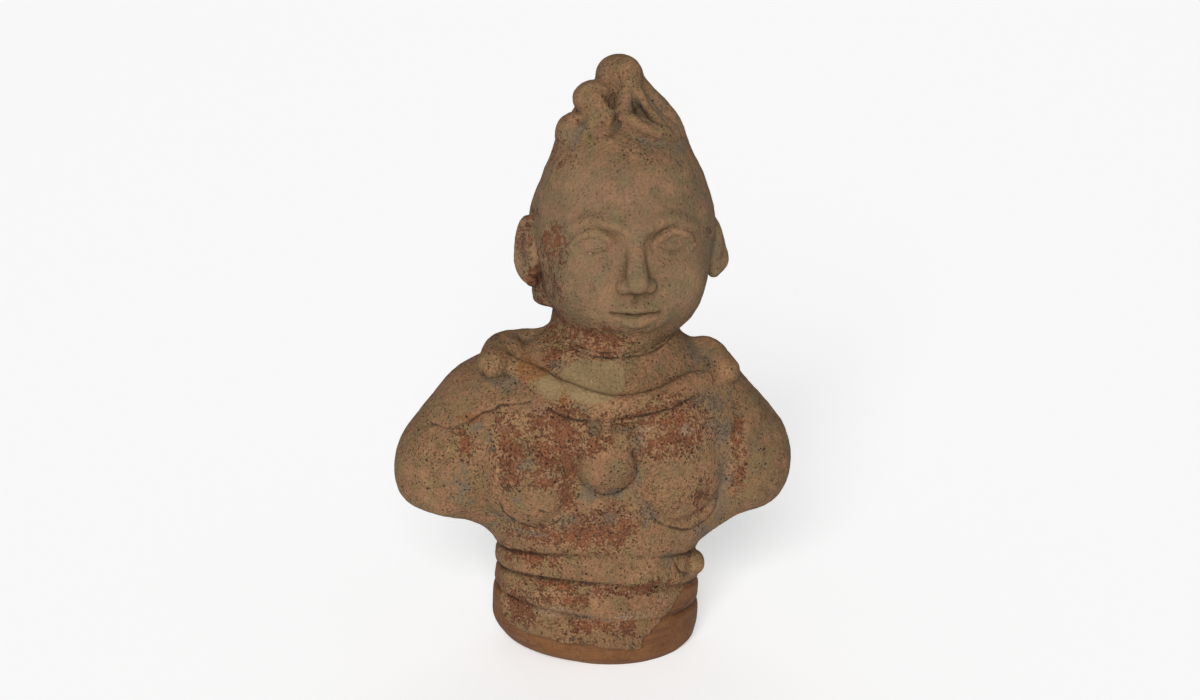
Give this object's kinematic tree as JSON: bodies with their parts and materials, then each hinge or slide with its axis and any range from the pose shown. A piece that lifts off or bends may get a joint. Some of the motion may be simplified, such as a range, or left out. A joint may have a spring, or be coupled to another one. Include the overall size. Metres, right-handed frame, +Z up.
{
  "type": "male figure statuette",
  "caption": "Moulded terracotta statuette of a bare-chested man with a tall hair knot, arm stumps, a collar band and a round pendant, cut off level below the waist.",
  "frame": {"origin": "on the flat underside, below the middle of the waist", "axes": "+Z up, -Y the way the figure faces, +X towards the figure's left arm"},
  "size_m": [0.1221, 0.0627, 0.1811],
  "materials": {
    "statuette": "bare matt terracotta with dull grey and ochre deposits"
  },
  "bodies": {
    "root": {"statuette": "statuette"}
  },
  "joints": []
}
